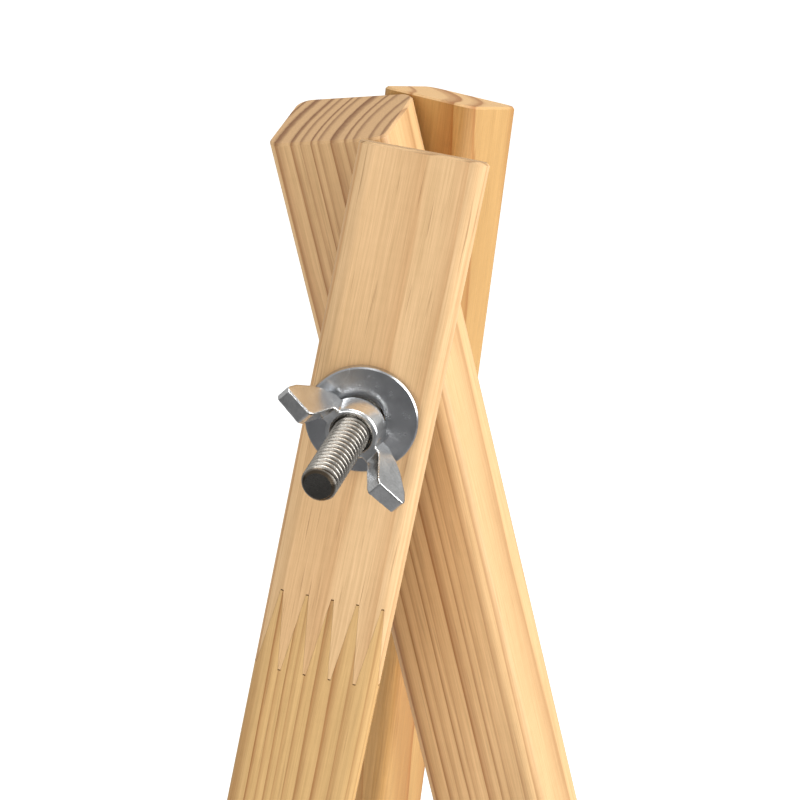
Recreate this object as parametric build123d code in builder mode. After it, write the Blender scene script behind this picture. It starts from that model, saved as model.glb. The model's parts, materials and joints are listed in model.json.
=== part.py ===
"""Wooden artist easel: three crossed pine legs clamped by one long bolt and a wing nut.

Frame: +Z up, X along the line of the two canvas-bearing feet, -Y is the front, millimetres.
The origin is on the floor under the middle of the easel's bounding box.
"""
from build123d import *

import os
from math import cos, radians, sin, tan

# Head: where the bolt meets the front leg, and the way its threaded end points
bolt_height = 1350.0
bolt_heading = -17.5  # degrees from -Y towards +X
bolt_rise = 2.2
head_x = -4.3
head_y = -18.4

# Leg stock, one section for all three legs; the rear one is turned a quarter
stock_width = 22.0
stock_thickness = 17.5
edge_radius = 2.8
end_chamfer = 0.4

# Feet on the floor, measured from the point under the washer's seat
front_foot = (-280.0, -134.0)
middle_foot = (287.5, -113.0)
rear_foot = (-140.0, 167.5)

# Where each leg's centre line passes the bolt: depth behind the seat, and sideways
front_depth = 8.77
front_shift = -0.44
middle_depth = 30.4
middle_shift = -3.2
rear_depth = 53.1
rear_shift = -3.5

# Heading of each leg's front face, degrees from -Y towards +X
front_facing = -4.8
middle_facing = -20.9
rear_facing = -27.3

# Length of each leg above the bolt, and how far its top cut slopes down to the back
front_head_length = 44.5
middle_head_length = 41.5
rear_head_length = 38.7
front_top_slope = 18.7
middle_top_slope = -3.9
rear_top_slope = 25.7
rear_side_slope = 6.5  # the rear leg's top also falls to the right

# Finger joints between the blocks of each leg, distances below the bolt
front_joints = (43.0, 496.0, 951.0)
middle_joints = (468.0, 945.0)
rear_joints = (412.0, 905.0)
finger_count = 5
finger_length = 15.0
finger_tip = 0.5
glue_gap = 0.22

# Bolt (quarter inch coarse thread)
bolt_radius = 3.175
bolt_hole_radius = 3.6
bolt_tip_reach = 26.0
bolt_tip_chamfer = 0.8
head_seat_behind_rear = 7.0
head_radius = 5.6
head_height = 3.2
head_rounding = 2.4
head_seat_radius = 5.9
neck_side = 6.6
neck_length = 4.6

# Washer
washer_radius = 9.55
washer_hole_radius = 3.97
washer_thickness = 1.6
washer_edge = 0.25

# Wing nut: the hub stands square to the bolt and touches the slanting washer at one edge
nut_clearance = 0.03
hub_height = 4.0
hub_base_radius = 5.2
hub_top_radius = 4.6
hub_hole_radius = 3.225
wing_turn = -43.3  # degrees of the right wing above the horizontal
wing_thickness = 3.4
wing_outline = (
    (3.6, 0.5),
    (6.4, 0.5),
    (8.9, 2.1),
    (10.5, 3.7),
    (12.9, 7.1),
    (13.8, 9.4),
    (13.4, 10.2),
    (8.3, 10.9),
    (7.6, 10.1),
    (5.3, 4.1),
    (3.6, 3.9),
)

# Canvas pegs and the rows of holes that they fit
peg_radius = 4.0
peg_hole_radius = 4.05
peg_length = 62.0
peg_inset = 8.0  # depth of the peg's inner end behind the centre line
peg_chamfer = 0.8
first_peg_hole = 520.0
peg_hole_pitch = 90.0
peg_hole_count = 5
used_peg_hole = 2

through = 200.0  # longer than anything that a cut passes through

bolt_out = Vector(
    sin(radians(bolt_heading)) * cos(radians(bolt_rise)),
    -cos(radians(bolt_heading)) * cos(radians(bolt_rise)),
    sin(radians(bolt_rise)),
)
bolt_side = Vector(cos(radians(bolt_heading)), sin(radians(bolt_heading)), 0)
seat = Vector(head_x, head_y, bolt_height)


class Leg:
    """One leg's directions: up along it, out through its front face, side to the right."""

    def __init__(self, foot, depth, shift, facing, head_length, top_slope, side_slope, section):
        self.crossing = seat - bolt_out * depth + bolt_side * shift
        self.foot = Vector(head_x + foot[0], head_y + foot[1], 0)
        self.length = (self.crossing - self.foot).length
        self.up = (self.crossing - self.foot).normalized()
        level = Vector(sin(radians(facing)), -cos(radians(facing)), 0)
        self.out = (level - Vector(0, 0, level.dot(self.up) / self.up.Z)).normalized()
        self.side = self.up.cross(self.out)
        self.head_length = head_length
        self.top_slope = top_slope
        self.side_slope = side_slope
        self.width, self.thickness = section

    def at(self, below):
        """The point of the centre line this far below the bolt."""
        return self.crossing - self.up * below

    def across(self, below):
        """A plane square to the leg, with y pointing to its back."""
        return Plane(origin=self.at(below), x_dir=self.side, z_dir=self.up)

    def facing_plane(self, below):
        """A plane parallel to the front face, with y pointing up the leg."""
        return Plane(origin=self.at(below), x_dir=self.side, z_dir=self.out)


front = Leg(
    front_foot,
    front_depth,
    front_shift,
    front_facing,
    front_head_length,
    front_top_slope,
    0,
    (stock_width, stock_thickness),
)
middle = Leg(
    middle_foot,
    middle_depth,
    middle_shift,
    middle_facing,
    middle_head_length,
    middle_top_slope,
    0,
    (stock_width, stock_thickness),
)
rear = Leg(
    rear_foot,
    rear_depth,
    rear_shift,
    rear_facing,
    rear_head_length,
    rear_top_slope,
    rear_side_slope,
    (stock_thickness, stock_width),
)


def finger_line(width, shift):
    """The zigzag of a glued finger joint, from left to right across a leg's front face."""
    pitch = width / finger_count
    blunt = finger_tip / 2
    high = finger_length / 2 + shift
    low = shift - finger_length / 2
    points = [(-width, low)]
    for index in range(finger_count):
        left = index * pitch - width / 2
        points.append((left + blunt, low))
        points.append((left + pitch / 2 - blunt, high))
        points.append((left + pitch / 2 + blunt, high))
        points.append((left + pitch - blunt, low))
    points.append((width, low))
    return points


def cut_fingers(leg, below, side_kept):
    """Removes one side of a finger joint: side_kept is 1 above the joint and -1 below it."""
    line = finger_line(leg.width, side_kept * glue_gap / 2)
    with BuildSketch(leg.facing_plane(below)) as waste:
        with BuildLine():
            Polyline(*line)
            Polyline(
                line[0],
                (-leg.width, -side_kept * through),
                (leg.width, -side_kept * through),
                line[-1],
            )
        make_face()
    extrude(waste.sketch, amount=through, both=True, mode=Mode.SUBTRACT)


def cut_bolt_hole():
    """Drills the leg along the bolt, from well in front to well behind."""
    with BuildSketch(Plane(origin=seat, x_dir=bolt_side, z_dir=bolt_out)) as hole:
        Circle(bolt_hole_radius)
    extrude(hole.sketch, amount=through, both=True, mode=Mode.SUBTRACT)


def cut_peg_holes(leg, top, bottom):
    """Drills the peg holes of a canvas-bearing leg that lie inside one block."""
    for index in range(peg_hole_count):
        below = first_peg_hole + index * peg_hole_pitch
        if top < below < bottom:
            with BuildSketch(leg.facing_plane(below)) as hole:
                Circle(peg_hole_radius)
            extrude(hole.sketch, amount=through, both=True, mode=Mode.SUBTRACT)


def shape_block(leg, top, bottom):
    """Builds one block of a leg in the open part; None is the leg's own sawn end."""
    start = leg.length + through if bottom is None else bottom + finger_length
    stop = -leg.head_length - through if top is None else top - finger_length
    with BuildSketch(leg.across(start)) as section:
        RectangleRounded(leg.width, leg.thickness, edge_radius)
    extrude(section.sketch, amount=start - stop)
    if top is None:
        tilt = (-leg.top_slope, leg.side_slope, 0)
        with BuildSketch(leg.across(-leg.head_length).rotated(tilt)) as above:
            Rectangle(4 * through, 4 * through)
        extrude(above.sketch, amount=2 * through, mode=Mode.SUBTRACT)
        chamfer(faces().sort_by(Axis(leg.foot, leg.up))[-1].edges(), end_chamfer)
    else:
        cut_fingers(leg, top, -1)
    if bottom is None:
        with BuildSketch(Plane(origin=leg.foot, z_dir=(0, 0, -1))) as below_floor:
            Rectangle(4 * through, 4 * through)
        extrude(below_floor.sketch, amount=2 * through, mode=Mode.SUBTRACT)
    else:
        cut_fingers(leg, bottom, 1)


# Front leg, on the left, under the washer
with BuildPart() as front_leg_head:
    shape_block(front, None, front_joints[0])
    cut_bolt_hole()

with BuildPart() as front_leg_upper:
    shape_block(front, front_joints[0], front_joints[1])

with BuildPart() as front_leg_middle:
    shape_block(front, front_joints[1], front_joints[2])
    cut_peg_holes(front, front_joints[1], front_joints[2])

with BuildPart() as front_leg_foot:
    shape_block(front, front_joints[2], None)

# Middle leg, on the right, between the other two at the bolt
with BuildPart() as middle_leg_upper:
    shape_block(middle, None, middle_joints[0])
    cut_bolt_hole()

with BuildPart() as middle_leg_middle:
    shape_block(middle, middle_joints[0], middle_joints[1])
    cut_peg_holes(middle, middle_joints[0], middle_joints[1])

with BuildPart() as middle_leg_foot:
    shape_block(middle, middle_joints[1], None)

# Rear leg, the prop, with the bolt's head let into its back
head_seat = seat - bolt_out * (rear_depth + head_seat_behind_rear)

with BuildPart() as rear_leg_upper:
    shape_block(rear, None, rear_joints[0])
    cut_bolt_hole()
    with BuildSketch(Plane(origin=head_seat, x_dir=bolt_side, z_dir=-bolt_out)):
        Circle(head_seat_radius)
    extrude(amount=through, mode=Mode.SUBTRACT)
    with BuildSketch(Plane(origin=head_seat, x_dir=bolt_side, z_dir=bolt_out)):
        Rectangle(neck_side, neck_side)
    extrude(amount=neck_length, mode=Mode.SUBTRACT)

with BuildPart() as rear_leg_middle:
    shape_block(rear, rear_joints[0], rear_joints[1])

with BuildPart() as rear_leg_foot:
    shape_block(rear, rear_joints[1], None)

# Carriage bolt: rounded head, square neck, plain shank to the chamfered tip
shank_length = rear_depth + head_seat_behind_rear + bolt_tip_reach
with BuildPart() as carriage_bolt:
    with BuildSketch(Plane(origin=head_seat, x_dir=bolt_side, z_dir=-bolt_out)):
        Circle(head_radius)
    extrude(amount=head_height)
    fillet(carriage_bolt.edges().sort_by(Axis(head_seat, bolt_out))[0], head_rounding)
    with BuildSketch(Plane(origin=head_seat, x_dir=bolt_side, z_dir=bolt_out)):
        Circle(bolt_radius)
    extrude(amount=shank_length)
    chamfer(carriage_bolt.edges().sort_by(Axis(head_seat, bolt_out))[-1], bolt_tip_chamfer)
    with BuildSketch(Plane(origin=head_seat, x_dir=bolt_side, z_dir=bolt_out)):
        Rectangle(neck_side, neck_side)
    extrude(amount=neck_length)

# Washer, flat on the front leg's face and so aslant to the bolt
face_gap = front.thickness / 2 - (seat - front.crossing).dot(front.out)
washer_centre = seat + bolt_out * (face_gap / bolt_out.dot(front.out))
with BuildPart() as washer:
    with BuildSketch(Plane(origin=washer_centre, x_dir=front.side, z_dir=front.out)):
        Circle(washer_radius)
        Circle(washer_hole_radius, mode=Mode.SUBTRACT)
    extrude(amount=washer_thickness)
    chamfer(washer.edges().filter_by(GeomType.CIRCLE).group_by(SortBy.RADIUS)[-1], washer_edge)

# Wing nut: tapered hub with two upright wings
slant = radians(bolt_out.get_angle(front.out))
nut_lift = washer_thickness / cos(slant) + hub_base_radius * tan(slant) + nut_clearance
nut_base = washer_centre + bolt_out * nut_lift
wing_out = bolt_side.rotate(Axis((0, 0, 0), bolt_out), wing_turn)
with BuildPart() as wing_nut:
    with BuildSketch(Plane(origin=nut_base, x_dir=wing_out, z_dir=bolt_out)):
        Circle(hub_base_radius)
    with BuildSketch(Plane(origin=nut_base + bolt_out * hub_height, x_dir=wing_out, z_dir=bolt_out)):
        Circle(hub_top_radius)
    loft()
    for direction in (1, -1):
        with BuildSketch(Plane(origin=nut_base, x_dir=wing_out, z_dir=wing_out.cross(bolt_out))):
            with BuildLine():
                Polyline(*[(direction * x, y) for x, y in wing_outline], close=True)
            make_face()
        extrude(amount=wing_thickness / 2, both=True)
    with BuildSketch(Plane(origin=nut_base, x_dir=wing_out, z_dir=bolt_out)):
        Circle(hub_hole_radius)
    extrude(amount=through, mode=Mode.SUBTRACT)

# Canvas pegs, one in each front leg
def shape_peg(leg):
    """Builds one dowel peg in the open part, through the leg and out in front of it."""
    below = first_peg_hole + used_peg_hole * peg_hole_pitch
    start = leg.at(below) - leg.out * peg_inset
    with BuildSketch(Plane(origin=start, x_dir=leg.side, z_dir=leg.out)) as end:
        Circle(peg_radius)
    extrude(end.sketch, amount=peg_length)


with BuildPart() as front_peg:
    shape_peg(front)
    chamfer(front_peg.edges().filter_by(GeomType.CIRCLE), peg_chamfer)

with BuildPart() as middle_peg:
    shape_peg(middle)
    chamfer(middle_peg.edges().filter_by(GeomType.CIRCLE), peg_chamfer)

pieces = {
    "front_leg_head": front_leg_head,
    "front_leg_upper": front_leg_upper,
    "front_leg_middle": front_leg_middle,
    "front_leg_foot": front_leg_foot,
    "middle_leg_upper": middle_leg_upper,
    "middle_leg_middle": middle_leg_middle,
    "middle_leg_foot": middle_leg_foot,
    "rear_leg_upper": rear_leg_upper,
    "rear_leg_middle": rear_leg_middle,
    "rear_leg_foot": rear_leg_foot,
    "carriage_bolt": carriage_bolt,
    "washer": washer,
    "wing_nut": wing_nut,
    "front_peg": front_peg,
    "middle_peg": middle_peg,
}

os.makedirs("parts", exist_ok=True)
for name, piece in pieces.items():
    piece.part.label = name
    export_step(piece.part, f"parts/{name}.step")
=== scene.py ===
import json
import math

import bmesh
import bpy
from mathutils import Matrix, Vector


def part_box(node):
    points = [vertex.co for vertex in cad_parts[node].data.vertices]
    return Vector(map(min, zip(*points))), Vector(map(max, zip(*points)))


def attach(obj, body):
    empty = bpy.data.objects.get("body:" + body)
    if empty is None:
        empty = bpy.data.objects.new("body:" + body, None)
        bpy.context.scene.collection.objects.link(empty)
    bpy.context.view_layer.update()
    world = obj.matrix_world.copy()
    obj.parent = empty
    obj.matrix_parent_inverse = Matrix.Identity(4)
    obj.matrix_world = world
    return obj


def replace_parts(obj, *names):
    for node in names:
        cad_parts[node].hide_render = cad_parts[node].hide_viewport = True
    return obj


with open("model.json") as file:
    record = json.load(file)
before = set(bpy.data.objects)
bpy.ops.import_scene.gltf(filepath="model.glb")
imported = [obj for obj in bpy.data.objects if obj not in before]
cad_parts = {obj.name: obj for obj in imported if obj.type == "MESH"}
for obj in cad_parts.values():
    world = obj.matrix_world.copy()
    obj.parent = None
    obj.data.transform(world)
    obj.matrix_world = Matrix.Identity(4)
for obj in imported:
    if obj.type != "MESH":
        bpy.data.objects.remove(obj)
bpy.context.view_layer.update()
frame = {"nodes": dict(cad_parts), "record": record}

MM = 0.001
joints = {j["name"]: j for j in frame["record"]["behaviour"]["joints"]}
mounts = {m["name"]: m for m in frame["record"]["mounts"]}

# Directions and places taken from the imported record
bolt_out = Vector(joints["front_leg_swing"]["axis"]).normalized()
bolt_side = Vector((-bolt_out.y, bolt_out.x, 0)).normalized()
front_crossing = Vector(joints["front_leg_swing"]["pos_m"])
middle_crossing = Vector(joints["middle_leg_swing"]["pos_m"])
front_out = Vector(joints["front_peg_pull"]["axis"]).normalized()
middle_out = Vector(joints["middle_peg_pull"]["axis"]).normalized()
front_foot = Vector(mounts["front_foot_face"]["pos_m"])
middle_foot = Vector(mounts["middle_foot_face"]["pos_m"])
rear_foot = Vector(mounts["rear_foot_face"]["pos_m"])

# The part's own numbers for the bolt, washer and nut, in metres
FRONT_DEPTH = 8.77 * MM
REAR_DEPTH = 53.1 * MM
FRONT_SHIFT = -0.44 * MM
MIDDLE_SHIFT = -3.2 * MM
REAR_SHIFT = -3.5 * MM
HEAD_SEAT_BEHIND_REAR = 7.0 * MM
TIP_REACH = 26.0 * MM
BOLT_RADIUS = 3.175 * MM
THREAD_PITCH = 1.27 * MM
THREAD_LENGTH = 42 * MM
WASHER_THICKNESS = 1.6 * MM
HUB_BASE_RADIUS = 5.2 * MM
NUT_CLEARANCE = 0.03 * MM
REAR_FACING = math.radians(-27.3)
WING_TURN = math.radians(-43.3)
seat = front_crossing + bolt_out * FRONT_DEPTH
front_crossing += bolt_side * FRONT_SHIFT
middle_crossing += bolt_side * MIDDLE_SHIFT
rear_crossing = seat - bolt_out * REAR_DEPTH + bolt_side * REAR_SHIFT


class LegFrame:
    """Across, back and up directions of one leg, for grain that follows it."""

    def __init__(self, crossing, foot, out):
        self.origin = crossing
        self.up = (crossing - foot).normalized()
        self.out = (out - self.up * out.dot(self.up)).normalized()
        self.side = self.up.cross(self.out)
        self.back = -self.out


front = LegFrame(front_crossing, front_foot, front_out)
middle = LegFrame(middle_crossing, middle_foot, middle_out)
rear_up = (rear_crossing - rear_foot).normalized()
rear_level = Vector((math.sin(REAR_FACING), -math.cos(REAR_FACING), 0))
rear_out = rear_level - Vector((0, 0, rear_level.dot(rear_up) / rear_up.z))
rear = LegFrame(rear_crossing, rear_foot, rear_out)


def peg_frame(leg):
    """A dowel's grain runs along it, out of the leg's front face."""
    made = LegFrame(leg.origin, leg.origin - leg.out, leg.side)
    return made


# ---------------------------------------------------------------- materials


class Graph:
    """A material's node tree, with short calls for the nodes used here."""

    def __init__(self, name):
        self.material = bpy.data.materials.new(name)
        self.material.use_nodes = True
        self.nodes = self.material.node_tree.nodes
        self.links = self.material.node_tree.links
        self.nodes.clear()

    def put(self, socket, value):
        if isinstance(value, bpy.types.NodeSocket):
            self.links.new(value, socket)
        else:
            socket.default_value = value

    def math(self, operation, a, b=0.0, c=0.0, clamp=False):
        n = self.nodes.new("ShaderNodeMath")
        n.operation = operation
        n.use_clamp = clamp
        for socket, value in zip(n.inputs, (a, b, c)):
            self.put(socket, value)
        return n.outputs[0]

    def vector(self, operation, a, b=(0, 0, 0)):
        n = self.nodes.new("ShaderNodeVectorMath")
        n.operation = operation
        self.put(n.inputs[0], a)
        self.put(n.inputs[1], b)
        return n.outputs["Value" if operation in ("DOT_PRODUCT", "LENGTH") else "Vector"]

    def join(self, x, y, z):
        n = self.nodes.new("ShaderNodeCombineXYZ")
        for socket, value in zip(n.inputs, (x, y, z)):
            self.put(socket, value)
        return n.outputs[0]

    def noise(self, vector, scale=1.0, detail=2.0, roughness=0.5, colour=False):
        n = self.nodes.new("ShaderNodeTexNoise")
        self.put(n.inputs["Vector"], vector)
        n.inputs["Scale"].default_value = scale
        n.inputs["Detail"].default_value = detail
        n.inputs["Roughness"].default_value = roughness
        return n.outputs["Color" if colour else "Fac"]

    def ramp(self, fac, stops, smooth=False):
        n = self.nodes.new("ShaderNodeValToRGB")
        n.color_ramp.interpolation = "EASE" if smooth else "LINEAR"
        elements = n.color_ramp.elements
        while len(elements) < len(stops):
            elements.new(0.5)
        for element, (place, colour) in zip(elements, stops):
            element.position = place
            element.color = (*colour, 1) if len(colour) == 3 else colour
        self.put(n.inputs[0], fac)
        return n.outputs[0]

    def level(self, fac, stops, smooth=False):
        return self.ramp(fac, [(p, (v, v, v)) for p, v in stops], smooth)

    def mix(self, fac, a, b, blend="MIX"):
        n = self.nodes.new("ShaderNodeMix")
        n.data_type = "RGBA"
        n.blend_type = blend
        self.put(n.inputs["Factor"], fac)
        for socket, value in ((n.inputs[6], a), (n.inputs[7], b)):
            if isinstance(value, tuple) and len(value) == 3:
                value = (*value, 1)
            self.put(socket, value)
        return n.outputs[2]

    def bump(self, height, strength, distance, normal=None):
        n = self.nodes.new("ShaderNodeBump")
        n.inputs["Strength"].default_value = strength
        n.inputs["Distance"].default_value = distance
        self.put(n.inputs["Height"], height)
        if normal is not None:
            self.put(n.inputs["Normal"], normal)
        return n.outputs[0]

    def finish(self, colour, roughness, normal=None, metallic=0.0, coat=0.0, specular=0.5):
        shader = self.nodes.new("ShaderNodeBsdfPrincipled")
        out = self.nodes.new("ShaderNodeOutputMaterial")
        if isinstance(colour, tuple) and len(colour) == 3:
            colour = (*colour, 1)
        self.put(shader.inputs["Base Color"], colour)
        self.put(shader.inputs["Roughness"], roughness)
        shader.inputs["Metallic"].default_value = metallic
        shader.inputs["Coat Weight"].default_value = coat
        shader.inputs["Coat Roughness"].default_value = 0.35
        shader.inputs["Specular IOR Level"].default_value = specular
        if normal is not None:
            self.put(shader.inputs["Normal"], normal)
        self.links.new(shader.outputs[0], out.inputs[0])
        return self.material


def srgb(r, g, b):
    """Linear colour of an 8-bit display colour."""
    return tuple(
        v / 12.92 if v <= 0.04045 else ((v + 0.055) / 1.055) ** 2.4
        for v in (r / 255, g / 255, b / 255)
    )


def pine(
    name,
    leg,
    pith,
    spacing,
    early,
    late,
    contrast,
    warp=0.8,
    lean=(0.0, 0.0),
    seed=0.0,
    sharp=0.8,
    end_early=None,
    end_late=None,
    fleck=0.35,
    cloud=0.5,
):
    """Pine whose growth rings run round a pith line, so faces and end grain agree."""
    g = Graph(name)
    coords = g.nodes.new("ShaderNodeTexCoord")
    rel = g.vector("SUBTRACT", coords.outputs["Object"], tuple(leg.origin))
    x = g.math("MULTIPLY", g.vector("DOT_PRODUCT", rel, tuple(leg.side)), 1000)
    y = g.math("MULTIPLY", g.vector("DOT_PRODUCT", rel, tuple(leg.back)), 1000)
    z = g.math("MULTIPLY", g.vector("DOT_PRODUCT", rel, tuple(leg.up)), 1000)

    def stretched(across, along, shift=0.0):
        return g.join(
            g.math("MULTIPLY_ADD", x, across, seed + shift),
            g.math("MULTIPLY_ADD", y, across, seed * 1.7),
            g.math("MULTIPLY", z, along),
        )

    # Slow wander of the grain along the leg, then distance from the pith
    wander = g.noise(stretched(0.035, 0.009), detail=2.0, colour=True)
    split = g.nodes.new("ShaderNodeSeparateColor")
    g.links.new(wander, split.inputs[0])
    dx = g.math("MULTIPLY", g.math("SUBTRACT", split.outputs[0], 0.5), warp * 4)
    dy = g.math("MULTIPLY", g.math("SUBTRACT", split.outputs[1], 0.5), warp * 4)
    px = g.math("ADD", g.math("ADD", x, -pith[0]), g.math("MULTIPLY_ADD", z, lean[0], dx))
    py = g.math("ADD", g.math("ADD", y, -pith[1]), g.math("MULTIPLY_ADD", z, lean[1], dy))
    radius = g.vector("LENGTH", g.join(px, py, 0.0))

    # Uneven rings: the phase runs on with the radius, faster and slower
    uneven = g.noise(g.join(g.math("MULTIPLY", radius, 0.22), seed, 0.3), detail=1.0)
    ragged = g.noise(stretched(0.9, 0.03, 3.1), detail=3.0, roughness=0.6)
    phase = g.math(
        "ADD",
        g.math("MULTIPLY_ADD", uneven, 2.4, g.math("DIVIDE", radius, spacing)),
        g.math("MULTIPLY", ragged, 0.16),
    )
    turn = g.math("FRACT", phase)
    year = g.math("FLOOR", phase)
    strength = g.nodes.new("ShaderNodeTexWhiteNoise")
    strength.noise_dimensions = "1D"
    g.links.new(g.math("ADD", year, seed), strength.inputs["W"])
    strong = g.math("MULTIPLY_ADD", strength.outputs["Value"], 0.55, 0.45)
    band = g.level(
        turn,
        [(0.0, 0.12), (0.1, 0.0), (0.45, 0.06), (sharp, 0.55), (0.94, 1.0), (1.0, 0.12)],
    )
    ring = g.math("MULTIPLY", band, strong)

    # Fibres, short resin dashes and soft clouds of colour
    fibre = g.noise(stretched(2.6, 0.045, 9.0), detail=4.0, roughness=0.65)
    fine = g.noise(stretched(7.0, 0.12, 4.0), detail=2.0, roughness=0.6)
    dash = g.level(g.noise(stretched(2.4, 0.07, 17.0), detail=1.0), [(0.66, 0.0), (0.76, 1.0)])
    clouds = g.noise(stretched(0.09, 0.02, 23.0), detail=2.0)
    ripple = g.noise(
        g.join(
            g.math("MULTIPLY", x, 0.25), g.math("MULTIPLY", y, 0.25), g.math("MULTIPLY", z, 0.8)
        ),
        detail=2.0,
    )

    tone = g.mix(g.math("MULTIPLY", ring, contrast), early, late)
    dark = tuple(c * 0.62 for c in late)
    tone = g.mix(g.math("MULTIPLY", dash, fleck), tone, dark)
    shade = g.math(
        "ADD",
        g.math("MULTIPLY", g.math("SUBTRACT", fibre, 0.5), 0.5),
        g.math("MULTIPLY", g.math("SUBTRACT", fine, 0.5), 0.3),
    )
    shade = g.math("ADD", shade, g.math("MULTIPLY", g.math("SUBTRACT", clouds, 0.5), cloud * 0.5))
    shade = g.math("ADD", shade, g.math("MULTIPLY", g.math("SUBTRACT", ripple, 0.5), 0.06))
    shade = g.math("ADD", shade, 1.0)
    tinted = g.join(shade, g.math("POWER", shade, 1.15), g.math("POWER", shade, 1.5))
    tone = g.mix(1.0, tone, tinted, "MULTIPLY")

    # Sawn end: browner, rings crisp, fibres seen end on
    end_early = end_early or tuple(c * 0.82 for c in early)
    end_late = end_late or tuple(c * 0.5 for c in late)
    facing = g.math("ABSOLUTE", g.vector("DOT_PRODUCT", coords.outputs["Normal"], tuple(leg.up)))
    is_end = g.level(facing, [(0.55, 0.0), (0.8, 1.0)], True)
    pores = g.noise(stretched(3.2, 0.05, 40.0), detail=4.0, roughness=0.7)
    end_ring = g.level(turn, [(0.0, 0.35), (0.12, 0.0), (0.55, 0.05), (0.78, 0.8), (0.93, 1.0), (1.0, 0.35)])
    sawn = g.mix(g.math("MULTIPLY", end_ring, g.math("MULTIPLY_ADD", strong, 0.5, 0.45)), end_early, end_late)
    sawn = g.mix(
        1.0, sawn, g.level(pores, [(0.2, 0.84), (0.8, 1.14)]), "MULTIPLY"
    )
    colour = g.mix(is_end, tone, sawn)

    rough = g.math("MULTIPLY_ADD", fibre, 0.18, 0.36)
    rough = g.math("ADD", rough, g.math("MULTIPLY", is_end, 0.25))
    height = g.math("ADD", g.math("MULTIPLY", fibre, 0.7), g.math("MULTIPLY", ring, 0.35))
    height = g.math("SUBTRACT", height, g.math("MULTIPLY", dash, 0.6))
    height = g.math("ADD", height, g.math("MULTIPLY", fine, 0.25))
    normal = g.bump(height, 0.32, 0.00012)
    return g.finish(colour, rough, normal, coat=0.06, specular=0.42)


def steel(name, colour, roughness, centre, axis, grime=0.3, turned=0.0, threaded=False):
    """Plated steel: faint scratches, worn bright patches and, on a washer, turning marks."""
    g = Graph(name)
    coords = g.nodes.new("ShaderNodeTexCoord")
    rel = g.vector("SUBTRACT", coords.outputs["Object"], tuple(centre))
    mm = g.vector("MULTIPLY", rel, (1000, 1000, 1000))
    patch = g.noise(mm, 0.35, 3.0, 0.6)
    speck = g.noise(mm, 3.0, 3.0, 0.6)
    scratch = g.noise(g.vector("MULTIPLY", mm, (0.6, 0.4, 5.0)), 1.2, 3.0, 0.7)
    along = g.vector("DOT_PRODUCT", rel, tuple(axis))
    flat = g.vector("SUBTRACT", rel, g.vector("MULTIPLY", g.join(along, along, along), tuple(axis)))
    out = g.math("MULTIPLY", g.vector("LENGTH", flat), 1000)
    rings = g.noise(g.join(g.math("MULTIPLY", out, 5.0), 0.0, 0.0), 1.0, 2.0, 0.6)
    tint = g.level(patch, [(0.3, 0.86), (0.7, 1.05)])
    tone = g.mix(1.0, colour, tint, "MULTIPLY")
    dull = g.level(speck, [(0.35, 1.0 - grime * 0.5), (0.6, 1.0)])
    tone = g.mix(1.0, tone, dull, "MULTIPLY")
    if threaded:
        # Painted shade: the thread grooves are darkened towards dark brown, which also paints in the brown
        # reflection of the wood; the tip's flat end is darkened almost to black
        painted_groove_shade = g.level(g.math("DIVIDE", out, 4.0), [(0.68, 1.0), (0.765, 0.0)])
        facing = g.vector("DOT_PRODUCT", coords.outputs["Normal"], tuple(axis))
        end = g.level(facing, [(0.9, 0.0), (0.97, 1.0)])
        side = g.math("SUBTRACT", 1.0, end)
        tone = g.mix(g.math("MULTIPLY", painted_groove_shade, side), tone, (0.11, 0.085, 0.06))
        tone = g.mix(g.math("MULTIPLY", end, 0.8), tone, (0.05, 0.048, 0.045))
    rough = g.math("MULTIPLY_ADD", patch, 0.14, roughness - 0.05)
    rough = g.math("ADD", rough, g.math("MULTIPLY", scratch, 0.06))
    height = g.math("ADD", g.math("MULTIPLY", scratch, 0.5), g.math("MULTIPLY", speck, 0.3))
    height = g.math("ADD", height, g.math("MULTIPLY", rings, turned))
    normal = g.bump(height, 0.25, 0.00003)
    return g.finish(tone, rough, normal, metallic=1.0)


PEACH = srgb(216, 178, 130)
PEACH_LATE = srgb(186, 136, 86)
YELLOW = srgb(204, 165, 108)
YELLOW_LATE = srgb(150, 96, 44)
CREAM = srgb(212, 174, 124)
CREAM_LATE = srgb(146, 92, 44)
AMBER = srgb(194, 152, 92)
AMBER_LATE = srgb(160, 98, 38)

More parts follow.
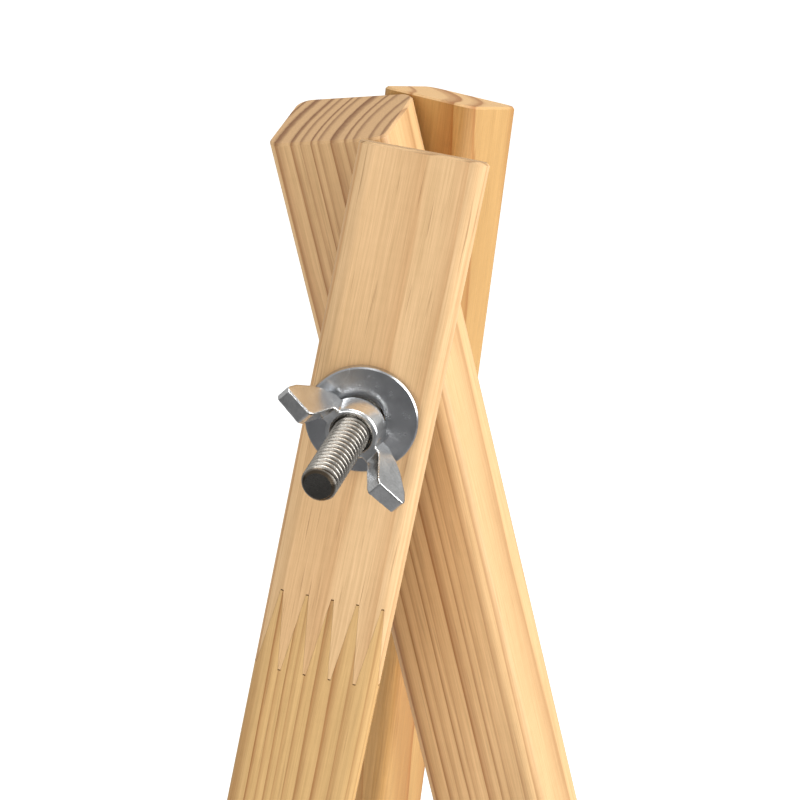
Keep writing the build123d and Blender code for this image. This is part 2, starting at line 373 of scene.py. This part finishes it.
woods = {
    "front_leg_head": pine(
        "pine_front_head", front, (-8.0, 38.0), 1.7, PEACH, PEACH_LATE, 0.95,
        warp=0.35, seed=2.3, fleck=0.5, lean=(0.004, 0.0),
    ),
    "front_leg_upper": pine(
        "pine_front_upper", front, (14.0, 13.0), 1.15, YELLOW, YELLOW_LATE, 1.0,
        warp=0.25, seed=7.9, fleck=0.2, lean=(0.01, 0.0),
    ),
    "front_leg_middle": pine(
        "pine_front_middle", front, (-20.0, 16.0), 1.9, PEACH, PEACH_LATE, 0.9,
        warp=0.8, seed=11.4,
    ),
    "front_leg_foot": pine(
        "pine_front_foot", front, (6.0, 30.0), 2.1, AMBER, AMBER_LATE, 0.7,
        warp=1.0, seed=15.2, lean=(0.01, 0.004),
    ),
    "middle_leg_upper": pine(
        "pine_middle_upper", middle, (46.0, -5.5), 2.15, CREAM, CREAM_LATE, 0.95,
        warp=0.35, seed=4.6, fleck=0.15, end_early=srgb(200, 162, 118), end_late=srgb(116, 74, 44),
    ),
    "middle_leg_middle": pine(
        "pine_middle_middle", middle, (-6.0, 24.0), 2.4, PEACH, PEACH_LATE, 0.9,
        warp=0.9, seed=19.8, lean=(-0.008, 0.0),
    ),
    "middle_leg_foot": pine(
        "pine_middle_foot", middle, (-30.0, -12.0), 1.4, YELLOW, YELLOW_LATE, 0.75,
        warp=0.5, seed=23.1,
    ),
    "rear_leg_upper": pine(
        "pine_rear_upper", rear, (-30.0, -16.0), 6.2, AMBER, AMBER_LATE, 1.0,
        warp=1.3, seed=8.8, fleck=0.15, lean=(0.05, 0.0), sharp=0.8,
        end_early=srgb(216, 176, 124), end_late=srgb(150, 92, 44),
    ),
    "rear_leg_middle": pine(
        "pine_rear_middle", rear, (18.0, 10.0), 1.8, CREAM, CREAM_LATE, 0.85,
        warp=0.7, seed=27.5,
    ),
    "rear_leg_foot": pine(
        "pine_rear_foot", rear, (-10.0, -28.0), 1.6, YELLOW, YELLOW_LATE, 0.8,
        warp=0.8, seed=31.7,
    ),
    "front_peg": pine(
        "peg_front", peg_frame(front), (3.0, 16.0), 1.3, srgb(228, 198, 152), srgb(206, 168, 118),
        0.5, warp=0.3, seed=35.0, fleck=0.4,
    ),
    "middle_peg": pine(
        "peg_middle", peg_frame(middle), (-4.0, 12.0), 1.3, srgb(226, 194, 148), srgb(204, 164, 114),
        0.5, warp=0.3, seed=38.0, fleck=0.4,
    ),
}

ZINC = srgb(238, 239, 239)
zinc_bolt = steel("zinc_bolt", srgb(214, 209, 200), 0.22, seat, bolt_out, grime=0.5, threaded=True)
zinc_nut = steel("zinc_nut", ZINC, 0.17, seat, bolt_out, grime=0.25)
bright_washer = steel("bright_washer", srgb(206, 208, 211), 0.2, seat, front_out, grime=0.15, turned=0.5)


def dress(node, material):
    """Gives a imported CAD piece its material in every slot."""
    o = frame["nodes"][node]
    if not o.material_slots:
        o.data.materials.append(material)
    for slot in o.material_slots:
        slot.material = material


for node, material in woods.items():
    dress(node, material)
dress("washer", bright_washer)


# ------------------------------------------------------------------- pieces


def piece(name, bm, body, material, smooth=40):
    """A finished mesh piece in the shared frame, shaded smooth except at real edges."""
    bmesh.ops.recalc_face_normals(bm, faces=bm.faces)
    mesh = bpy.data.meshes.new(name)
    bm.to_mesh(mesh)
    bm.free()
    mesh.materials.append(material)
    o = bpy.data.objects.new(name, mesh)
    bpy.context.scene.collection.objects.link(o)
    for polygon in mesh.polygons:
        polygon.use_smooth = True
    mesh.set_sharp_from_angle(angle=math.radians(smooth))
    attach(o, body)
    return o


def basis(origin, x, z):
    """Matrix of a frame at origin with the given x and z directions."""
    y = z.cross(x)
    m = Matrix((x, y, z)).transposed().to_4x4()
    m.translation = origin
    return m


def lathe(bm, matrix, profile, segments=96, closed=False):
    """Turns a profile of (radius, height) about the matrix's z axis."""
    rings = []
    for radius, height in profile:
        if radius < 1e-7:
            rings.append([bm.verts.new(matrix @ Vector((0, 0, height)))])
            continue
        rings.append(
            [
                bm.verts.new(
                    matrix
                    @ Vector(
                        (
                            radius * math.cos(2 * math.pi * i / segments),
                            radius * math.sin(2 * math.pi * i / segments),
                            height,
                        )
                    )
                )
                for i in range(segments)
            ]
        )
    pairs = list(zip(rings, rings[1:]))
    if closed:
        pairs.append((rings[-1], rings[0]))
    for low, high in pairs:
        for i in range(segments):
            k = (i + 1) % segments
            corners = [low[i % len(low)], low[k % len(low)], high[k % len(high)], high[i % len(high)]]
            unique = []
            for v in corners:
                if v not in unique:
                    unique.append(v)
            if len(unique) > 2:
                bm.faces.new(unique)


def threaded_bolt():
    """Carriage bolt: domed head, square neck, shank, and a rolled thread to the tip."""
    bm = bmesh.new()
    head = seat - bolt_out * (REAR_DEPTH + HEAD_SEAT_BEHIND_REAR)
    matrix = basis(head, bolt_side, bolt_out)
    length = REAR_DEPTH + HEAD_SEAT_BEHIND_REAR + TIP_REACH
    radius = 5.6 * MM
    dome = [(0.0, -3.2 * MM)]
    for step in range(1, 13):
        angle = math.radians(90 * step / 12)
        dome.append((radius * math.sin(angle), -(0.8 + 2.4 * math.cos(angle)) * MM))
    dome += [(radius, -0.25 * MM), (radius - 0.25 * MM, 0.0), (0.0, 0.0)]
    lathe(bm, matrix, dome, 64)
    neck = []
    for height, half in ((0.0, 3.3), (3.9, 3.3), (4.6, 2.6)):
        neck.append(
            [
                bm.verts.new(matrix @ Vector((sx * half * MM, sy * half * MM, height * MM)))
                for sx, sy in ((1, 1), (-1, 1), (-1, -1), (1, -1))
            ]
        )
    for low, high in zip(neck, neck[1:]):
        for i in range(4):
            bm.faces.new((low[i], low[(i + 1) % 4], high[(i + 1) % 4], high[i]))
    bm.faces.new(neck[0])
    bm.faces.new(neck[-1])

    segments = 72
    thread_start = length - THREAD_LENGTH
    shank = 2.78 * MM
    core_start = 0.5 * MM
    core_end = thread_start + 0.4 * MM
    core = [(0.0, core_start), (shank, core_start), (shank, core_end), (0.0, core_end)]
    lathe(bm, matrix, core, segments)

    # Rows follow the helix: row j of one turn meets row j + len(form) of the next
    depth = 0.66 * MM
    form = [
        (0.0, 0.0), (0.10, 0.0), (0.26, 0.5), (0.42, 0.93),
        (0.5, 1.0), (0.62, 1.0), (0.70, 0.93), (0.86, 0.5),
    ]
    rows = int((THREAD_LENGTH / THREAD_PITCH + 2) * len(form))
    chamfer = 0.8 * MM
    grid = []
    for j in range(rows + len(form) + 1):
        turn, part = divmod(j, len(form))
        place, rise = form[part]
        row = []
        for i in range(segments):
            angle = 2 * math.pi * i / segments
            along = thread_start + (turn - 1 + place + i / segments) * THREAD_PITCH
            along = min(max(along, thread_start), length)
            r = BOLT_RADIUS - depth * (1 - rise)
            r = min(r, BOLT_RADIUS - chamfer + (length - along) * 0.9)
            row.append(bm.verts.new(matrix @ Vector((r * math.cos(angle), r * math.sin(angle), along))))
        grid.append(row)
    for j in range(rows):
        for i in range(segments):
            if i + 1 < segments:
                right, above = grid[j][i + 1], grid[j + 1][i + 1]
            else:
                right, above = grid[j + len(form)][0], grid[j + 1 + len(form)][0]
            bm.faces.new((grid[j][i], right, above, grid[j + 1][i]))
    used = set()
    for f in bm.faces:
        used.update(f.verts)
    for v in [v for v in bm.verts if v not in used]:
        bm.verts.remove(v)
    tip = BOLT_RADIUS - chamfer
    dished_end = [(tip, length), (tip - 0.35 * MM, length - 0.02 * MM), (0.0, length - 0.12 * MM)]
    lathe(bm, matrix, dished_end, segments)
    bmesh.ops.remove_doubles(bm, verts=bm.verts, dist=2e-6)
    bmesh.ops.dissolve_degenerate(bm, edges=bm.edges, dist=1e-6)
    o = piece("carriage_bolt_threaded", bm, "rear_frame", zinc_bolt, 28)
    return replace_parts(o, "carriage_bolt")


def cast_wing_nut():
    """Wing nut: tapered hub and two upright wings melted together like a casting."""
    washer_low, washer_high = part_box("washer")
    middle_of_washer = (washer_low + washer_high) / 2
    slant = bolt_out.angle(front_out)
    lift = WASHER_THICKNESS / math.cos(slant) + HUB_BASE_RADIUS * math.tan(slant) + NUT_CLEARANCE
    base = middle_of_washer - front_out * (WASHER_THICKNESS / 2) + bolt_out * lift
    wing = Matrix.Rotation(WING_TURN, 3, bolt_out) @ bolt_side
    matrix = basis(base, wing, bolt_out)
    bm = bmesh.new()
    lathe(
        bm,
        matrix,
        [
            (3.32 * MM, 0.0), (5.05 * MM, 0.0), (5.2 * MM, 0.3 * MM), (5.0 * MM, 1.6 * MM),
            (4.65 * MM, 3.5 * MM), (4.45 * MM, 3.9 * MM), (3.75 * MM, 4.0 * MM), (3.32 * MM, 3.6 * MM),
        ],
        96,
        closed=True,
    )
    outline = (
        (3.6, 0.5), (6.4, 0.5), (8.9, 2.1), (10.5, 3.7), (12.9, 7.1), (13.8, 9.4),
        (13.4, 10.2), (8.3, 10.9), (7.6, 10.1), (5.3, 4.1), (3.6, 3.9),
    )
    for direction in (1, -1):
        layers = []
        for sign in (1, -1):
            layers.append(
                [
                    bm.verts.new(
                        matrix
                        @ Vector((direction * x * MM, sign * (1.72 - 0.02 * x) * MM, z * MM))
                    )
                    for x, z in outline
                ]
            )
        bm.faces.new(layers[0])
        bm.faces.new(list(reversed(layers[1])))
        for i in range(len(outline)):
            k = (i + 1) % len(outline)
            bm.faces.new((layers[0][k], layers[0][i], layers[1][i], layers[1][k]))
    bmesh.ops.recalc_face_normals(bm, faces=bm.faces)
    rough = bpy.data.meshes.new("wing_nut_rough")
    bm.to_mesh(rough)
    bm.free()
    o = bpy.data.objects.new("wing_nut_rough", rough)
    bpy.context.scene.collection.objects.link(o)
    remesh = o.modifiers.new("melt", "REMESH")
    remesh.mode = "VOXEL"
    remesh.voxel_size = 0.00014
    soften = o.modifiers.new("soften", "SMOOTH")
    soften.factor = 0.5
    soften.iterations = 16
    melted = bpy.data.meshes.new_from_object(o.evaluated_get(bpy.context.evaluated_depsgraph_get()))
    bpy.data.objects.remove(o)
    bm = bmesh.new()
    bm.from_mesh(melted)
    o = piece("wing_nut_cast", bm, "wing_nut", zinc_nut, 180)
    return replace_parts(o, "wing_nut")


threaded_bolt()
cast_wing_nut()

# ------------------------------------------------------- floor, light, camera

# The floor is darker to glossy rays than to the camera, which deepens what the metal reflects
floor_graph = Graph("pale_floor")
path = floor_graph.nodes.new("ShaderNodeLightPath")
diffuse = floor_graph.nodes.new("ShaderNodeBsdfDiffuse")
diffuse.inputs[0].default_value = (0.86, 0.86, 0.86, 1)
glow = floor_graph.nodes.new("ShaderNodeEmission")
glow.inputs[0].default_value = (1, 1, 1, 1)
glow.inputs[1].default_value = 0.6
both = floor_graph.nodes.new("ShaderNodeAddShader")
mirrored = floor_graph.nodes.new("ShaderNodeBsdfDiffuse")
mirrored.inputs[0].default_value = (0.27, 0.27, 0.275, 1)
pick = floor_graph.nodes.new("ShaderNodeMixShader")
surface = floor_graph.nodes.new("ShaderNodeOutputMaterial")
floor_graph.links.new(diffuse.outputs[0], both.inputs[0])
floor_graph.links.new(glow.outputs[0], both.inputs[1])
floor_graph.links.new(path.outputs["Is Glossy Ray"], pick.inputs[0])
floor_graph.links.new(both.outputs[0], pick.inputs[1])
floor_graph.links.new(mirrored.outputs[0], pick.inputs[2])
floor_graph.links.new(pick.outputs[0], surface.inputs[0])

floor_mesh = bpy.data.meshes.new("floor")
half = 40.0
corners = [(-half, -half, 0), (half, -half, 0), (half, half, 0), (-half, half, 0)]
floor_mesh.from_pydata(corners, [], [(0, 1, 2, 3)])
floor_mesh.materials.append(floor_graph.material)
floor = bpy.data.objects.new("floor", floor_mesh)
bpy.context.scene.collection.objects.link(floor)

world = bpy.data.worlds.new("studio")
world.use_nodes = True
bpy.context.scene.world = world
background = world.node_tree.nodes["Background"]
background.inputs[0].default_value = (1.0, 0.995, 0.985, 1)
background.inputs[1].default_value = 0.46


def softbox(name, place, target, size, power, colour=(1, 1, 1)):
    """A soft area light pointed at a target."""
    data = bpy.data.lights.new(name, "AREA")
    data.shape = "RECTANGLE"
    data.size, data.size_y = size
    data.energy = power
    data.color = colour
    o = bpy.data.objects.new(name, data)
    o.location = place
    o.rotation_euler = (target - Vector(place)).to_track_quat("-Z", "Y").to_euler()
    bpy.context.scene.collection.objects.link(o)
    return o


softbox("key_right", seat + Vector((2.2, -0.5, 0.6)), seat, (1.4, 2.2), 66, (1.0, 0.99, 0.975))
softbox("fill_front", seat + Vector((-1.4, -2.2, 1.2)), seat, (1.6, 1.2), 25)
softbox("top", seat + Vector((0.3, 0.4, 2.0)), seat, (1.5, 1.5), 22)

# Camera: high on the front, a long lens on the head of the easel
HEADING = math.radians(1.24)
DIP = math.radians(29.1)
ROLL = math.radians(-0.75)
camera_place = seat + (bolt_out * 0.8 + Vector((-7.7, -660.5, 371.1))) * MM
look = Vector((math.sin(HEADING) * math.cos(DIP), math.cos(HEADING) * math.cos(DIP), -math.sin(DIP)))
camera_data = bpy.data.cameras.new("camera")
camera_data.sensor_width = 36
camera_data.lens = 202.5
camera_data.clip_start = 0.01
camera_data.clip_end = 200
camera = bpy.data.objects.new("camera", camera_data)
right = look.cross(Vector((0, 0, 1))).normalized()
up = right.cross(look)
turned_right = right * math.cos(ROLL) + up * math.sin(ROLL)
turned_up = up * math.cos(ROLL) - right * math.sin(ROLL)
orientation = Matrix((turned_right, turned_up, -look)).transposed().to_4x4()
orientation.translation = camera_place
camera.matrix_world = orientation
bpy.context.scene.collection.objects.link(camera)
bpy.context.scene.camera = camera
bpy.context.scene.view_settings.view_transform = "Standard"
